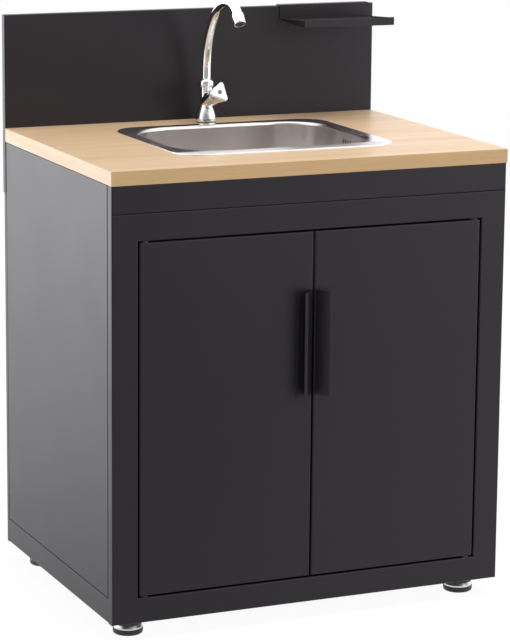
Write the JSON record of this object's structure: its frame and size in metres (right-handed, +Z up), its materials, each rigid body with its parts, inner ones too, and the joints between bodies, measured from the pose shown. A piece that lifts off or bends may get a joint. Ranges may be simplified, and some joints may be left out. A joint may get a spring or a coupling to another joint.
{
  "type": "outdoor kitchen sink cabinet",
  "caption": "Outdoor kitchen module: steel cabinet with inset doors, worktop with inset sink and swan-neck tap, splashback and hook-on shelf.",
  "frame": {"origin": "middle of the footprint, on the floor", "axes": "+Z up, +X to the right seen from the front, +Y to the back"},
  "size_m": [0.82, 0.6414, 1.1633],
  "materials": {
    "worktop": "matt wood decor",
    "coated_steel": "charcoal powder coat, satin",
    "zinc_steel": "zinc plated",
    "black_plastic": "matt",
    "seal_rubber": "matt",
    "white_plastic": "satin",
    "stainless_steel": "linen brushed",
    "chrome": "polished",
    "brass": "turned",
    "cap_plastic": "gloss"
  },
  "bodies": {
    "cabinet": {"worktop": "worktop", "fascia": "coated_steel", "front_frame": "coated_steel", "base_tray": "coated_steel", "left_side": "coated_steel", "right_side": "coated_steel", "back_panel": "coated_steel", "back_rail": "coated_steel", "splashback": "coated_steel", "door_pins": "zinc_steel", "sink_clips": "zinc_steel", "foot_nuts": "zinc_steel", "worktop_screws": "zinc_steel", "rear_screws": "zinc_steel", "magnet_catches": "black_plastic", "overflow_elbow": "black_plastic", "overflow_pipe": "black_plastic", "foot_collars": "black_plastic", "sink_seal": "seal_rubber", "waste_gasket": "seal_rubber", "tap_gasket": "seal_rubber", "waste_ring": "white_plastic", "trap_nut": "white_plastic", "trap_body": "white_plastic", "trap_cup": "white_plastic", "outlet_nut": "white_plastic", "outlet_pipe": "white_plastic", "sink_bowl": "stainless_steel", "waste_body": "stainless_steel", "tap_body": "chrome", "tap_headwork": "chrome", "union_nut": "chrome", "tap_back_nut": "brass"},
    "left_door": {"left_door": "coated_steel", "left_door_liner": "coated_steel", "left_handle": "coated_steel", "left_handle_rivets": "coated_steel", "left_door_bushes": "black_plastic", "left_strike": "zinc_steel"},
    "right_door": {"right_door": "coated_steel", "right_door_liner": "coated_steel", "right_handle": "coated_steel", "right_handle_rivets": "coated_steel", "right_door_bushes": "black_plastic", "right_strike": "zinc_steel"},
    "shelf": {"shelf": "coated_steel"},
    "strainer": {"strainer_basket": "stainless_steel"},
    "tap_handle": {"tap_spindle": "brass", "tap_handle": "chrome", "tap_cap": "cap_plastic"},
    "spout": {"spout": "chrome", "aerator": "chrome"},
    "front_left_foot": {"front_left_pad": "black_plastic", "front_left_stem": "zinc_steel"},
    "front_right_foot": {"front_right_pad": "black_plastic", "front_right_stem": "zinc_steel"},
    "back_left_foot": {"back_left_pad": "black_plastic", "back_left_stem": "zinc_steel"},
    "back_right_foot": {"back_right_pad": "black_plastic", "back_right_stem": "zinc_steel"}
  },
  "joints": [
    {"name": "left_door_hinge", "type": "hinge", "parent": "cabinet", "child": "left_door", "pos_m": [-0.342, -0.28765, 0.425], "axis": [0, 0, -1], "range_deg": [0, 108]},
    {"name": "right_door_hinge", "type": "hinge", "parent": "cabinet", "child": "right_door", "pos_m": [0.342, -0.28765, 0.425], "axis": [0, 0, 1], "range_deg": [0, 108]},
    {"name": "shelf_lift", "type": "slide", "parent": "cabinet", "child": "shelf", "axis": [0, 0, 1], "range_m": [0, 0.03]},
    {"name": "strainer_lift", "type": "slide", "parent": "cabinet", "child": "strainer", "axis": [0, 0, 1], "range_m": [0, 0.03]},
    {"name": "tap_handle_turn", "type": "hinge", "parent": "cabinet", "child": "tap_handle", "pos_m": [0.006, 0.25035, 0.942], "axis": [0, -0.9304, 0.3665], "range_deg": [0, 180]},
    {"name": "spout_swivel", "type": "hinge", "parent": "cabinet", "child": "spout", "pos_m": [0.006, 0.25035, 0.98], "axis": [0, 0, 1], "range_deg": [-90, 90]},
    {"name": "front_left_foot_level", "type": "slide", "parent": "cabinet", "child": "front_left_foot", "axis": [0, 0, -1], "range_m": [0, 0.02]},
    {"name": "front_right_foot_level", "type": "slide", "parent": "cabinet", "child": "front_right_foot", "axis": [0, 0, -1], "range_m": [0, 0.02]},
    {"name": "back_left_foot_level", "type": "slide", "parent": "cabinet", "child": "back_left_foot", "axis": [0, 0, -1], "range_m": [0, 0.02]},
    {"name": "back_right_foot_level", "type": "slide", "parent": "cabinet", "child": "back_right_foot", "axis": [0, 0, -1], "range_m": [0, 0.02]}
  ]
}
